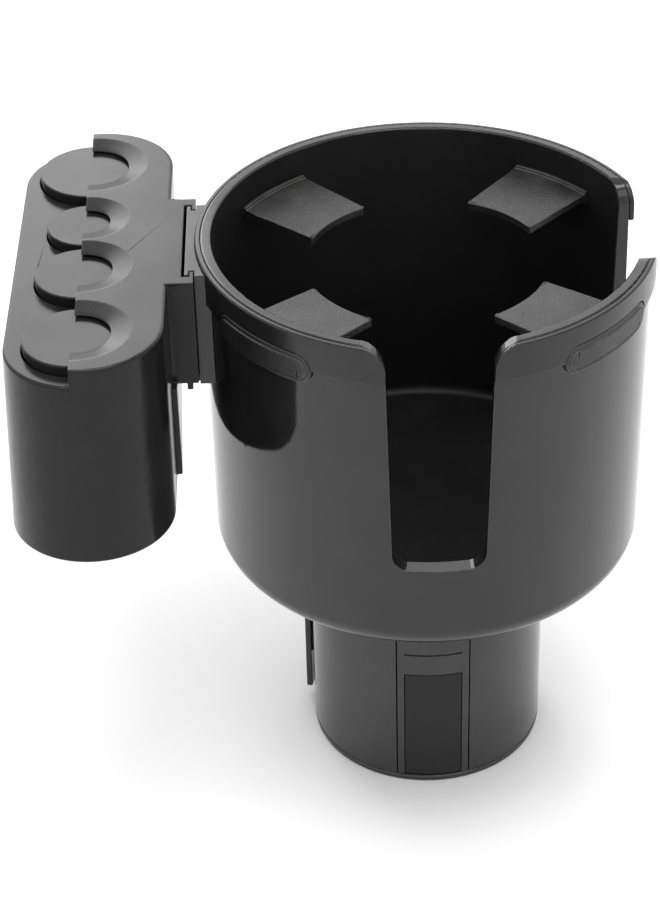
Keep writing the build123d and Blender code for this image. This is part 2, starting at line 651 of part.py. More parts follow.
def slot_opening(y, plunger_r):
    """Space for one plunger and for its coins: a bore below the lip and a bevelled mouth in it."""
    bevel_z = LIP_Z + LIP_EDGE_T
    mouth_r = plunger_r - LIP_COVERS
    bore = disc(plunger_r + PLUNGER_FIT, BOX_TOP - BOX_DECK - 1, LIP_Z, x=SLOT_X, y=y)
    throat = disc(mouth_r, LIP_Z - 1, bevel_z + 0.01, x=SLOT_X, y=y)
    bevel = Pos(SLOT_X, y, bevel_z) * Cone(mouth_r, plunger_r + LIP_OUTSIDE, PLATEAU_Z - bevel_z, align=UP)
    return bore + throat + bevel


def box_posts():
    """Where the cover's screws go."""
    return [(BOX_X + side * BOX_POST_HALF, y) for side in (-1, 1) for y in BOX_POST_YS]


def box_outside():
    """The coin box's outer form: drafted walls, a low half and a raised half, and rounded edges."""
    body = box_block(BOX_BOTTOM, PLATEAU_Z)
    body = fillet(body.edges().group_by(Axis.Z)[0], BOX_EDGE)
    body -= block(-2 * FAR, PLATEAU_X, -FAR, FAR, BOX_TOP, PLATEAU_Z + 1)
    raised = body.edges().group_by(Axis.Z)[-1].sort_by(Axis.X)[1:]
    body = fillet(raised, BOX_EDGE)
    low = body.edges().filter_by_position(Axis.Z, BOX_TOP - 0.01, BOX_TOP + 0.01).sort_by(Axis.X)[:-1]
    return fillet(low, BOX_EDGE)


def coin_housing():
    """Coin box shell: hollow with a deck and its four slots, four screw posts and the channel."""
    deck_z = BOX_TOP - BOX_DECK
    body = box_outside() - box_block(BOX_BOTTOM - 1, deck_z, BOX_WALL)
    for x, y in box_posts():
        body += disc(BOX_POST_R, COVER_TOP, deck_z + 0.5, x=x, y=y)
        body -= disc(SMALL_SCREW_R + SCREW_FIT, COVER_TOP - 1, COVER_TOP + SMALL_SCREW_L, x=x, y=y)
    body += box_channel() + wall_pad()
    for y, plunger_r in COIN_SLOTS.values():
        body -= slot_opening(y, plunger_r)
    return body


def coin_tubes():
    """Insert of four joined tubes that guide the plungers and keep the coins stacked."""
    high = BOX_TOP - BOX_DECK
    ys = [y for y, plunger_r in COIN_SLOTS.values()]
    body = block(SLOT_X - TUBE_WEB / 2, SLOT_X + TUBE_WEB / 2, min(ys), max(ys), COVER_TOP, high)
    for y, plunger_r in COIN_SLOTS.values():
        body += disc(plunger_r + PLUNGER_FIT + TUBE_WALL, COVER_TOP, high, x=SLOT_X, y=y)
    for y, plunger_r in COIN_SLOTS.values():
        body -= disc(plunger_r + PLUNGER_FIT, COVER_TOP - 1, high + 1, x=SLOT_X, y=y)
    return body


def coin_cover():
    """Plate inset into the coin box's bottom, with a spigot inside each spring."""
    body = box_block(COVER_Z, COVER_TOP, BOX_WALL + BOX_COVER_FIT)
    for y, plunger_r in COIN_SLOTS.values():
        spigot_r = plunger_r - SPRING_INSET - SPRING_WIRE_R - SPIGOT_GAP
        body += disc(spigot_r, COVER_Z, COVER_TOP + SPIGOT_H, x=SLOT_X, y=y)
    hole = screw_hole(SMALL_SCREW_R, BOX_COVER_T + 1, SMALL_HEAD_R, SMALL_HEAD_H)
    for x, y in box_posts():
        body -= Pos(x, y, COVER_Z) * hole
    return body


def coin_cover_screws():
    """Four screws that hold the cover to the posts."""
    one = screw(SMALL_SCREW_R, SMALL_SCREW_L, SMALL_HEAD_R, SMALL_HEAD_H)
    return [Pos(x, y, COVER_Z) * one for x, y in box_posts()]


def plunger(y, plunger_r):
    """Sprung disc with a skirt, on which the coins lie."""
    low = PLUNGER_Z - PLUNGER_SKIRT
    body = disc(plunger_r, low, PLUNGER_Z, x=SLOT_X, y=y)
    body -= disc(plunger_r - PLUNGER_SKIRT_T, low - 1, PLUNGER_Z - PLUNGER_TOP_T, x=SLOT_X, y=y)
    return chamfer(body.edges().group_by(Axis.Z)[-1], PLUNGER_EDGE)


def spring(y, plunger_r):
    """Coil spring, of wire with a six-sided section, between the cover and the underside of a plunger."""
    low = COVER_TOP + SPRING_WIRE_R + SPRING_GAP
    high = PLUNGER_Z - PLUNGER_TOP_T - SPRING_WIRE_R - SPRING_GAP
    path = Helix((high - low) / SPRING_TURNS, high - low, plunger_r - SPRING_INSET)
    section = Plane(origin=path @ 0, z_dir=path % 0) * RegularPolygon(SPRING_WIRE_R, 6)
    return Pos(SLOT_X, y, low) * sweep(section, path=path)


def save(name, shape):
    """Write one node's STEP file."""
    solids = list(shape) if isinstance(shape, list) else shape.solids()
    export_step(solids[0] if len(solids) == 1 else Compound(children=list(solids)), f"parts/{name}.step")


def main():
    """Build every node."""
    os.makedirs("parts", exist_ok=True)
    save("base_housing", base_housing())
    save("base_cap", base_cap())
    save("base_screws", base_screws())
    for name in JAW_ANGLES:
        save(f"jaw_{name}", jaw(name))
        save(f"jaw_pad_{name}", jaw_pad(name))
    save("cam_disc", cam_disc())
    save("cam_screws", cam_screws())
    save("cup_body", cup_body())
    short, long = collar_parts()
    save("collar_short", short)
    save("collar_long", long)
    for name, angle in TAB_ANGLES.items():
        save(f"grip_tab_{name}", grip_tab(angle))
    save("slide_bracket", slide_bracket())
    save("bracket_screws", bracket_screws())
    save("coin_housing", coin_housing())
    save("coin_tubes", coin_tubes())
    save("coin_cover", coin_cover())
    save("coin_cover_screws", coin_cover_screws())
    for name, (y, plunger_r) in COIN_SLOTS.items():
        save(f"coin_plunger_{name}", plunger(y, plunger_r))
        save(f"coin_spring_{name}", spring(y, plunger_r))


main()
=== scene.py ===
"""Dresses the cup holder expander: black mouldings with rubbed edges and painted edge highlights, rubber
tabs, steel screws and a soft studio.
"""

import logging
import math
from collections.abc import Callable, Sequence
from dataclasses import dataclass, field
from enum import Enum

import bpy
from mathutils import Matrix, Vector


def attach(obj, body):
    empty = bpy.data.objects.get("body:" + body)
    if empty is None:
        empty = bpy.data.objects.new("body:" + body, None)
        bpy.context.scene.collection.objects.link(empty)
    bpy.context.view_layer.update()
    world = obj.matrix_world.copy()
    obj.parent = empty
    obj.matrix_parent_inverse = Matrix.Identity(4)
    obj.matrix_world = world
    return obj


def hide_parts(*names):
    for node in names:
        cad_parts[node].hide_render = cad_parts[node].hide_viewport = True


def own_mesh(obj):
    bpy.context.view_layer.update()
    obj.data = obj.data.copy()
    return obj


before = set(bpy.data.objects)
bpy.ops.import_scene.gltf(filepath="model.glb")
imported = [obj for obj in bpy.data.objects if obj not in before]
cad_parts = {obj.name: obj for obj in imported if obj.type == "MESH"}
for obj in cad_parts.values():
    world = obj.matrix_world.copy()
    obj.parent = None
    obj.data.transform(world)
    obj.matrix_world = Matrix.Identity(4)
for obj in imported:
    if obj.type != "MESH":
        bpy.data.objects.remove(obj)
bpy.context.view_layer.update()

EDGE_ATTRIBUTE = "edge"
# Faces whose points differ by less than this in height count as level
LEVEL = 0.00001
# Points that are closer than this are one point
MERGE = 0.000002
# A face looks up if its normal's Z is above this
LOOKS_UP = 0.9
LOG = logging.getLogger("cup_holder")

Triple = tuple[float, float, float]
Selector = Callable[[Vector, Vector], bool]
EdgeSelector = Callable[[Vector, Vector, Vector], bool]


class Slot(Enum):
    """Finish slots that the record names."""

    GLOSS = "gloss_black"
    SATIN = "satin_black"
    RUBBER = "rubber_black"
    SCREW = "screw_steel"
    SPRING = "spring_steel"


class HeadShape(Enum):
    """Forms of a screw's head."""

    PAN = "pan"
    COUNTERSUNK = "countersunk"


class ShaderBoard:
    """Adds nodes to one shader tree and joins them."""

    def __init__(self, tree: bpy.types.NodeTree) -> None:
        """Starts the board on an empty tree.

        Args:
            tree: The node tree to fill.
        """
        self.tree = tree
        self.tree.nodes.clear()
        self.column = 0

    def add(self, kind: str, **settings: object) -> bpy.types.Node:
        """Adds one node.

        Args:
            kind: The node's type name.
            settings: Properties of the node by name.

        Returns:
            The new node.
        """
        node = self.tree.nodes.new(kind)
        self.column += 1
        node.location = (self.column * 180, -(self.column % 3) * 160)
        for name, value in settings.items():
            setattr(node, name, value)
        return node

    def feed(self, socket: bpy.types.NodeSocket, value: object) -> None:
        """Links a socket to another socket, or gives it a plain value.

        Args:
            socket: The input to feed.
            value: An output socket, a number or a colour.
        """
        if isinstance(value, bpy.types.NodeSocket):
            self.tree.links.new(value, socket)
        else:
            socket.default_value = value

    def math(self, operation: str, first: object, second: object = 0.0) -> bpy.types.NodeSocket:
        """Adds a Math node.

        Args:
            operation: The node's operation.
            first: The first value or socket.
            second: The second value or socket.

        Returns:
            The result's socket.
        """
        node = self.add("ShaderNodeMath", operation=operation)
        self.feed(node.inputs[0], first)
        self.feed(node.inputs[1], second)
        return node.outputs[0]

    def span(self, value: object, low: float, high: float, to_low: object = 0.0,
             to_high: object = 1.0) -> bpy.types.NodeSocket:
        """Maps one range of values to another, with smooth ends.

        Args:
            value: The socket to map.
            low: Value that gives to_low.
            high: Value that gives to_high.
            to_low: Low end of the result.
            to_high: High end of the result.

        Returns:
            The mapped value's socket.
        """
        node = self.add("ShaderNodeMapRange", interpolation_type="SMOOTHSTEP")
        for index, entry in enumerate((value, low, high, to_low, to_high)):
            self.feed(node.inputs[index], entry)
        return node.outputs[0]

    def blend(self, share: object, under: object, over: object) -> bpy.types.NodeSocket:
        """Mixes two colours.

        Args:
            share: How much of the second colour shows.
            under: The first colour.
            over: The second colour.

        Returns:
            The mixed colour's socket.
        """
        node = self.add("ShaderNodeMix", data_type="RGBA")
        self.feed(node.inputs["Factor"], share)
        self.feed(node.inputs[6], under)
        self.feed(node.inputs[7], over)
        return node.outputs[2]

    def noise(self, coordinates: object, scale: object, detail: float = 3.0,
              roughness: float = 0.5) -> bpy.types.NodeSocket:
        """Adds a noise pattern.

        Args:
            coordinates: The place's socket.
            scale: Cells to the metre.
            detail: Octaves.
            roughness: Weight of the finer octaves.

        Returns:
            The pattern's value socket.
        """
        node = self.add("ShaderNodeTexNoise")
        self.feed(node.inputs["Vector"], coordinates)
        self.feed(node.inputs["Scale"], scale)
        node.inputs["Detail"].default_value = detail
        node.inputs["Roughness"].default_value = roughness
        return node.outputs["Fac"]

    def object_place(self) -> bpy.types.NodeSocket:
        """Gives the place on the object, in metres."""
        return self.add("ShaderNodeTexCoord").outputs["Object"]


@dataclass(frozen=True)
class EffectSpec:
    """One shared effect: its group's name, its inputs and what it puts out."""

    name: str
    inputs: dict[str, float]
    output: str
    output_kind: str = "NodeSocketFloat"

    def start(self) -> tuple[bpy.types.NodeTree, ShaderBoard, bpy.types.Node, bpy.types.Node]:
        """Makes the empty group.

        Returns:
            The tree, its board, the node of inputs and the node of outputs.
        """
        tree = bpy.data.node_groups.new(self.name, "ShaderNodeTree")
        for name, value in self.inputs.items():
            socket = tree.interface.new_socket(name, in_out="INPUT", socket_type="NodeSocketFloat")
            socket.default_value = value
        tree.interface.new_socket(self.output, in_out="OUTPUT", socket_type=self.output_kind)
        board = ShaderBoard(tree)
        return tree, board, board.add("NodeGroupInput"), board.add("NodeGroupOutput")


class SharedEffects:
    """The effects that several finishes use, each built once as a node group."""

    def __init__(self) -> None:
        """Builds all the groups."""
        self.wear_and_highlight = self._wear_and_highlight()
        self.dust = self._dust()
        self.grain = self._grain()
        self.handling = self._handling()

    @staticmethod
    def _wear_and_highlight() -> bpy.types.NodeTree:
        """Builds the lighter eased edges, partly rubbed and partly a painted edge highlight: the eased edges'
        attribute, broken up by noise.

        Returns:
            The group, which puts out a mask.
        """
        spec = EffectSpec("RubbedEdgesAndPaintedHighlight", {"Amount": 0.5, "Scale": 240.0}, "Mask")
        tree, board, given, out = spec.start()
        edge = board.add("ShaderNodeAttribute", attribute_name=EDGE_ATTRIBUTE).outputs["Fac"]
        patches = board.span(board.noise(board.object_place(), given.outputs["Scale"]), 0.35, 0.65, 0.35, 1.0)
        rubbed = board.math("MULTIPLY", edge, patches)
        board.feed(out.inputs[0], board.math("MULTIPLY", rubbed, given.outputs["Amount"]))
        return tree

    @staticmethod
    def _dust() -> bpy.types.NodeTree:
        """Builds the dust that settles on faces that look up, as a thin film with a few specks.

        Returns:
            The group, which puts out a mask.
        """
        spec = EffectSpec("SettledDust", {"Film": 0.1, "Specks": 0.3, "Scale": 90.0}, "Mask")
        tree, board, given, out = spec.start()
        place = board.object_place()
        normal = board.add("ShaderNodeNewGeometry").outputs["Normal"]
        split = board.add("ShaderNodeSeparateXYZ")
        board.feed(split.inputs[0], normal)
        upward = board.span(split.outputs["Z"], 0.35, 0.95)
        film = board.span(board.noise(place, given.outputs["Scale"], 5.0, 0.6), 0.35, 0.75)
        film = board.math("MULTIPLY", film, given.outputs["Film"])
        cells = board.add("ShaderNodeTexVoronoi")
        board.feed(cells.inputs["Vector"], place)
        board.feed(cells.inputs["Scale"], board.math("MULTIPLY", given.outputs["Scale"], 9.0))
        speck = board.span(cells.outputs["Distance"], 0.05, 0.16, 1.0, 0.0)
        rare = board.span(board.noise(place, given.outputs["Scale"], 2.0), 0.58, 0.66)
        speck = board.math("MULTIPLY", board.math("MULTIPLY", speck, rare), given.outputs["Specks"])
        both = board.math("MAXIMUM", film, speck)
        board.feed(out.inputs[0], board.math("MULTIPLY", both, upward))
        return tree

    @staticmethod
    def _grain() -> bpy.types.NodeTree:
        """Builds the mould's fine texture and the wall's slight waves, as a bump.

        Returns:
            The group, which puts out a normal.
        """
        spec = EffectSpec("MouldGrain", {"Scale": 2400.0, "Strength": 0.1, "Depth": 0.00008, "Waviness": 0.2},
                          "Normal", "NodeSocketVector")
        tree, board, given, out = spec.start()
        place = board.object_place()
        fine = board.noise(place, given.outputs["Scale"], 2.0, 0.55)
        wide = board.noise(place, 34.0, 1.0)
        bump = board.add("ShaderNodeBump")
        board.feed(bump.inputs["Strength"], given.outputs["Strength"])
        board.feed(bump.inputs["Distance"], given.outputs["Depth"])
        board.feed(bump.inputs["Height"], fine)
        sink = board.add("ShaderNodeBump")
        board.feed(sink.inputs["Strength"], given.outputs["Waviness"])
        sink.inputs["Distance"].default_value = 0.0006
        board.feed(sink.inputs["Height"], wide)
        board.feed(sink.inputs["Normal"], bump.outputs["Normal"])
        board.feed(out.inputs[0], sink.outputs["Normal"])
        return tree

    @staticmethod
    def _handling() -> bpy.types.NodeTree:
        """Builds the uneven sheen from handling: cloudy smears and fine upright scratches.

        Returns:
            The group, which puts out a roughness.
        """
        spec = EffectSpec("HandledSheen", {"Low": 0.2, "High": 0.3, "Scale": 45.0}, "Roughness")
        tree, board, given, out = spec.start()
        place = board.object_place()
        clouds = board.noise(place, given.outputs["Scale"], 5.0, 0.62)
        stretch = board.add("ShaderNodeMapping")
        board.feed(stretch.inputs["Vector"], place)
        stretch.inputs["Scale"].default_value = (900.0, 900.0, 26.0)
        scratches = board.span(board.noise(stretch.outputs[0], 1.0, 1.0), 0.66, 0.74, 0.0, 0.5)
        both = board.math("ADD", board.span(clouds, 0.3, 0.72), scratches)
        spread = board.math("SUBTRACT", given.outputs["High"], given.outputs["Low"])
        scaled = board.math("MULTIPLY", both, spread)
        board.feed(out.inputs[0], board.math("ADD", scaled, given.outputs["Low"]))
        return tree


def placed_effect(board: ShaderBoard, group: bpy.types.NodeTree, **values: float) -> bpy.types.NodeSocket:
    """Places a shared effect in a material.

    Args:
        board: The material's board.
        group: The effect's node group.
        values: Its inputs by name.

    Returns:
        The effect's output socket.
    """
    node = board.add("ShaderNodeGroup", node_tree=group)
    for name, value in values.items():
        board.feed(node.inputs[name], value)
    return node.outputs[0]


@dataclass(frozen=True)
class MouldedFinish:
    """Moulded plastic or rubber, with its own colour, sheen, grain and dust, and lighter eased edges that are
    partly rubbed and partly a painted highlight.
    """

    name: str
    colour: Triple
    streak: Triple
    worn_and_highlit: Triple
    sheen_low: float
    sheen_high: float
    grain_scale: float
    grain: float
    waviness: float
    dust_film: float
    dust_specks: float
    wear_and_highlight: float
    ior: float = 1.5
    grain_depth: float = 0.00008
    dust: Triple = (0.16, 0.155, 0.15)

    def build(self, effects: SharedEffects) -> bpy.types.Material:
        """Makes the material.

        Args:
            effects: The shared node groups.

        Returns:
            The new material.
        """
        material = bpy.data.materials.new(self.name)
        material.use_nodes = True
        board = ShaderBoard(material.node_tree)
        place = board.object_place()
        streaks = board.span(board.noise(place, 70.0, 4.0, 0.6), 0.4, 0.75)
        colour = board.blend(streaks, (*self.colour, 1.0), (*self.streak, 1.0))
        wear_and_highlight = placed_effect(board, effects.wear_and_highlight, Amount=self.wear_and_highlight, Scale=260.0)
        # Lighter eased edges: partly rubbed plastic, partly a painted edge highlight.
        colour = board.blend(wear_and_highlight, colour, (*self.worn_and_highlit, 1.0))
        dust = placed_effect(board, effects.dust, Film=self.dust_film, Specks=self.dust_specks, Scale=80.0)
        colour = board.blend(dust, colour, (*self.dust, 1.0))
        sheen = placed_effect(board, effects.handling, Low=self.sheen_low, High=self.sheen_high, Scale=42.0)
        normal = placed_effect(board, effects.grain, Scale=self.grain_scale, Strength=self.grain,
                               Depth=self.grain_depth, Waviness=self.waviness)
        shader = board.add("ShaderNodeBsdfPrincipled")
        board.feed(shader.inputs["Base Color"], colour)
        board.feed(shader.inputs["Roughness"], board.math("ADD", sheen, board.math("MULTIPLY", dust, 0.4)))
        board.feed(shader.inputs["Normal"], normal)
        shader.inputs["IOR"].default_value = self.ior
        board.feed(board.add("ShaderNodeOutputMaterial").inputs["Surface"], shader.outputs[0])
        return material


@dataclass(frozen=True)
class SteelFinish:
    """Plated steel with turning marks and dull patches."""

    name: str
    colour: Triple
    dull: Triple
    sheen_low: float
    sheen_high: float

    def build(self, effects: SharedEffects) -> bpy.types.Material:
        """Makes the material.

        Args:
            effects: The shared node groups.

        Returns:
            The new material.
        """
        material = bpy.data.materials.new(self.name)
        material.use_nodes = True
        board = ShaderBoard(material.node_tree)
        patches = board.span(board.noise(board.object_place(), 420.0, 4.0, 0.6), 0.42, 0.7)
        colour = board.blend(patches, (*self.colour, 1.0), (*self.dull, 1.0))
        # Lighter eased edges on the steel: partly rubbed plating, partly a painted edge highlight.
        wear_and_highlight = placed_effect(board, effects.wear_and_highlight, Amount=0.6, Scale=900.0)
        colour = board.blend(wear_and_highlight, colour, (0.72, 0.71, 0.69, 1.0))
        sheen = placed_effect(board, effects.handling, Low=self.sheen_low, High=self.sheen_high, Scale=300.0)
        normal = placed_effect(board, effects.grain, Scale=5200.0, Strength=0.12, Waviness=0.0)
        shader = board.add("ShaderNodeBsdfPrincipled")
        board.feed(shader.inputs["Base Color"], colour)
        board.feed(shader.inputs["Roughness"], sheen)
        board.feed(shader.inputs["Normal"], normal)
        shader.inputs["Metallic"].default_value = 1.0
        board.feed(board.add("ShaderNodeOutputMaterial").inputs["Surface"], shader.outputs[0])
        return material


@dataclass(frozen=True)
class ShadedLining:
    """The part of a moulding that has a satin finish of its own, with a darker colour that paints the shade
    inside: what lies within a radius, between two heights.
    """

    finish: MouldedFinish
    radius: float
    above: float
    below: float

    def lay(self, piece: bpy.types.Object, material: bpy.types.Material) -> None:
        """Gives the lined faces their material.

        Args:
            piece: The finished moulding.
            material: The lining's material.
        """
        piece.data.materials.append(material)
        for polygon in piece.data.polygons:
            middle = polygon.center
            if self.above < middle.z < self.below and math.hypot(middle.x, middle.y) < self.radius:
                polygon.material_index = 1


class FinishShelf:
    """Every finish of the object, each material made once."""

    # The lighter edge colour of each finish paints a highlight on its eased edges, on top of rubbing.
    GLOSS = MouldedFinish(
        "GlossBlackMoulding", colour=(0.010, 0.010, 0.0105), streak=(0.014, 0.014, 0.0145),
        worn_and_highlit=(0.05, 0.05, 0.05), sheen_low=0.05, sheen_high=0.10, grain_scale=2600.0, grain=0.03,
        waviness=0.02, dust_film=0.06, dust_specks=0.4, wear_and_highlight=0.5, ior=1.49)
    HANDLED = MouldedFinish(
        "HandledBlackMoulding", colour=(0.010, 0.010, 0.0105), streak=(0.014, 0.014, 0.0145),
        worn_and_highlit=(0.05, 0.05, 0.05), sheen_low=0.17, sheen_high=0.25, grain_scale=2400.0, grain=0.05,
        waviness=0.03, dust_film=0.08, dust_specks=0.5, wear_and_highlight=0.5, ior=1.31)
    # Satin inside finish; its darker colour paints the shade inside the cup and the coin tubes.
    INNER_SHADED = MouldedFinish(
        "SatinBlackInsidePaintedShade", colour=(0.006, 0.006, 0.006), streak=(0.008, 0.008, 0.008),
        worn_and_highlit=(0.03, 0.03, 0.03), sheen_low=0.46, sheen_high=0.56, grain_scale=2200.0, grain=0.08,
        waviness=0.04, dust_film=0.02, dust_specks=0.3, wear_and_highlight=0.3, ior=1.3)
    SATIN = MouldedFinish(
        "SatinBlackMoulding", colour=(0.018, 0.018, 0.0185), streak=(0.024, 0.024, 0.0245),
        worn_and_highlit=(0.07, 0.07, 0.07), sheen_low=0.26, sheen_high=0.38, grain_scale=2000.0, grain=0.16,
        waviness=0.10, dust_film=0.08, dust_specks=0.5, wear_and_highlight=0.5)
    PLUG = MouldedFinish(
        "SemiGlossBlackMoulding", colour=(0.018, 0.018, 0.0185), streak=(0.025, 0.025, 0.0255),
        worn_and_highlit=(0.07, 0.07, 0.07), sheen_low=0.11, sheen_high=0.18, grain_scale=2200.0, grain=0.10,
        waviness=0.05, dust_film=0.06, dust_specks=0.5, wear_and_highlight=0.5, ior=1.52)
    BAND = MouldedFinish(
        "FineMattBlackBand", colour=(0.009, 0.009, 0.0095), streak=(0.013, 0.013, 0.0135),
        worn_and_highlit=(0.05, 0.05, 0.05), sheen_low=0.20, sheen_high=0.28, grain_scale=2200.0, grain=0.12,
        waviness=0.06, dust_film=0.05, dust_specks=0.4, wear_and_highlight=0.5, ior=1.45)
    RUBBER = MouldedFinish(
        "SoftBlackRubber", colour=(0.008, 0.008, 0.008), streak=(0.014, 0.014, 0.014),
        worn_and_highlit=(0.08, 0.08, 0.08), sheen_low=0.34, sheen_high=0.46, grain_scale=2300.0, grain=0.8,
        waviness=0.12, dust_film=0.16, dust_specks=1.0, wear_and_highlight=0.7, ior=1.5, grain_depth=0.00022)
    PAD = MouldedFinish(
        "GripPadRubber", colour=(0.007, 0.007, 0.007), streak=(0.011, 0.011, 0.011),
        worn_and_highlit=(0.04, 0.04, 0.04), sheen_low=0.40, sheen_high=0.52, grain_scale=1700.0, grain=0.40,
        waviness=0.10, dust_film=0.04, dust_specks=0.5, wear_and_highlight=0.5, ior=1.38)
    SCREW = SteelFinish(
        "PlatedScrewSteel", colour=(0.46, 0.46, 0.45), dull=(0.30, 0.30, 0.30),
        sheen_low=0.22, sheen_high=0.38)
    SPRING = SteelFinish(
        "DrawnSpringSteel", colour=(0.40, 0.40, 0.41), dull=(0.26, 0.26, 0.27),
        sheen_low=0.28, sheen_high=0.44)

    def __init__(self) -> None:
        """Builds the shared effects; the materials follow when they are first asked for."""
        self.effects = SharedEffects()
        self.made: dict[str, bpy.types.Material] = {}

    def material(self, finish: MouldedFinish | SteelFinish) -> bpy.types.Material:
        """Gives a finish's material.

        Args:
            finish: The finish.

        Returns:
            Its material, made at the first call.
        """
        if finish.name not in self.made:
            self.made[finish.name] = finish.build(self.effects)
        return self.made[finish.name]


def clear_selection() -> None:
    """Leaves edit mode and deselects every object."""
    if bpy.context.object and bpy.context.object.mode != "OBJECT":
        bpy.ops.object.mode_set(mode="OBJECT")
    bpy.ops.object.select_all(action="DESELECT")


def take(piece: bpy.types.Object) -> None:
    """Makes a piece the only selected and the active object.

    Args:
        piece: The object to take.
    """
    clear_selection()
    piece.select_set(True)
    bpy.context.view_layer.objects.active = piece


def select_faces(piece: bpy.types.Object, wanted: Selector) -> None:
    """Enters edit mode with only the wanted faces selected.

    Args:
        piece: The mesh to edit.
        wanted: Says from a face's middle and normal whether it is selected.
    """
    take(piece)
    bpy.ops.object.mode_set(mode="EDIT")
    bpy.ops.mesh.select_mode(type="FACE")
    bpy.ops.mesh.select_all(action="DESELECT")
    bpy.ops.object.mode_set(mode="OBJECT")
    for polygon in piece.data.polygons:
        polygon.select = wanted(polygon.center, polygon.normal)
    bpy.ops.object.mode_set(mode="EDIT")


def apply_modifier(piece: bpy.types.Object, kind: str, **settings: object) -> None:
    """Adds one modifier with its settings and applies it.

    Args:
        piece: The mesh to change.
        kind: The modifier's type.
        settings: Its properties by name.
    """
    take(piece)
    modifier = piece.modifiers.new(kind.lower(), kind)
    for name, value in settings.items():
        setattr(modifier, name, value)
    bpy.ops.object.modifier_apply(modifier=modifier.name)


@dataclass(frozen=True)
class EasedEdge:
    """How a moulding's sharp edges are rounded, with an own rule for some of its edges if it needs one."""

    width: float = 0.00025
    segments: int = 2
    above: float = math.radians(32.0)
    smooth_below: float = math.radians(34.0)
    also: EdgeSelector | None = None
    spared: EdgeSelector | None = None
    stray: float = 0.45
    face_weight: int = 80

    def ease(self, piece: bpy.types.Object, material: bpy.types.Material) -> None:
        """Rounds the piece's edges, marks them for the lighter edge colour (rubbing and painted highlight)
        and shades the piece.

        Args:
            piece: The merged mesh.
            material: Its material.
        """
        sharp = piece.copy()
        sharp.data = piece.data.copy()
        bpy.context.scene.collection.objects.link(sharp)
        piece.data.materials.clear()
        piece.data.materials.append(material)
        piece.data.materials.append(material)
        self.weigh(piece)
        apply_modifier(piece, "BEVEL", width=self.width, segments=self.segments, limit_method="WEIGHT",
                       use_clamp_overlap=False, material=1)
        self.mark(piece)
        self.tame(piece, sharp)
        bpy.data.objects.remove(sharp)
        take(piece)
        bpy.ops.object.shade_smooth_by_angle(angle=self.smooth_below)
        self._flatten_level_faces(piece)
        apply_modifier(piece, "WEIGHTED_NORMAL", mode="FACE_AREA", weight=self.face_weight,
                       keep_sharp=True)

    @staticmethod
    def _flatten_level_faces(piece: bpy.types.Object) -> None:
        """Shades faces that lie at one height as flat.

        Args:
            piece: The rounded mesh.
        """
        for polygon in piece.data.polygons:
            heights = [piece.data.vertices[vertex].co.z for vertex in polygon.vertices]
            if max(heights) - min(heights) < LEVEL:
                polygon.use_smooth = False

    def weigh(self, piece: bpy.types.Object) -> None:
        """Gives the edges that are to be rounded their bevel weight.

        Args:
            piece: The merged mesh.
        """
        mesh = piece.data
        beside: dict[tuple[int, int], list[Vector]] = {}
        for polygon in mesh.polygons:
            for key in polygon.edge_keys:
                beside.setdefault(key, []).append(polygon.normal)
        weights = []
        for edge in mesh.edges:
            normals = beside.get(edge.key, [])
            weights.append(1.0 if len(normals) == 2 and self._wanted(mesh, edge, *normals) else 0.0)
        mesh.attributes.new("bevel_weight_edge", "FLOAT", "EDGE").data.foreach_set("value", weights)

    def _wanted(self, mesh: bpy.types.Mesh, edge: bpy.types.MeshEdge, first: Vector, second: Vector) -> bool:
        """Says whether an edge is rounded.

        Args:
            mesh: The edge's mesh.
            edge: The edge.
            first: The normal on one side.
            second: The normal on the other side.

        Returns:
            True for an edge that is sharp enough and not spared, or that the own rule adds.
        """
        middle = (mesh.vertices[edge.vertices[0]].co + mesh.vertices[edge.vertices[1]].co) / 2
        if self.also and self.also(middle, first, second):
            return True
        if self.spared and self.spared(middle, first, second):
            return False
        return first.angle(second, 0.0) > self.above

    def tame(self, piece: bpy.types.Object, sharp: bpy.types.Object) -> None:
        """Brings points that the rounding threw off the moulding back onto it.

        Args:
            piece: The rounded mesh.
            sharp: The mesh before it was rounded.
        """
        for vertex in piece.data.vertices:
            found, place, _, _ = sharp.closest_point_on_mesh(vertex.co)
            if found and (vertex.co - place).length > self.stray * self.width:
                vertex.co = place

    @staticmethod
    def mark(piece: bpy.types.Object) -> None:
        """Writes the edge attribute: 1 at points that only eased faces share.

        Args:
            piece: The mesh whose eased faces carry the second material.
        """
        mesh = piece.data
        eased = [True] * len(mesh.vertices)
        for polygon in mesh.polygons:
            if polygon.material_index == 0:
                for vertex in polygon.vertices:
                    eased[vertex] = False
            polygon.material_index = 0
        mesh.materials.pop(index=1)
        attribute = mesh.attributes.new(EDGE_ATTRIBUTE, "FLOAT", "POINT")
        attribute.data.foreach_set("value", [1.0 if on else 0.0 for on in eased])


def merged_copy(node: str, piece_name: str) -> bpy.types.Object:
    """Copies a CAD node's mesh and joins its loose triangles into one clean surface.

    Args:
        node: The CAD node's name.
        piece_name: The new piece's name.

    Returns:
        The new object.
    """
    piece = bpy.data.objects.new(piece_name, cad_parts[node].data.copy())
    piece.data.name = piece_name
    bpy.context.scene.collection.objects.link(piece)
    take(piece)
    if piece.data.has_custom_normals:
        bpy.ops.mesh.customdata_custom_splitnormals_clear()
    bpy.ops.object.mode_set(mode="EDIT")
    bpy.ops.mesh.select_all(action="SELECT")
    bpy.ops.mesh.remove_doubles(threshold=MERGE)
    bpy.ops.mesh.tris_convert_to_quads(face_threshold=math.radians(0.4), shape_threshold=math.radians(170))
    bpy.ops.object.mode_set(mode="OBJECT")
    return piece


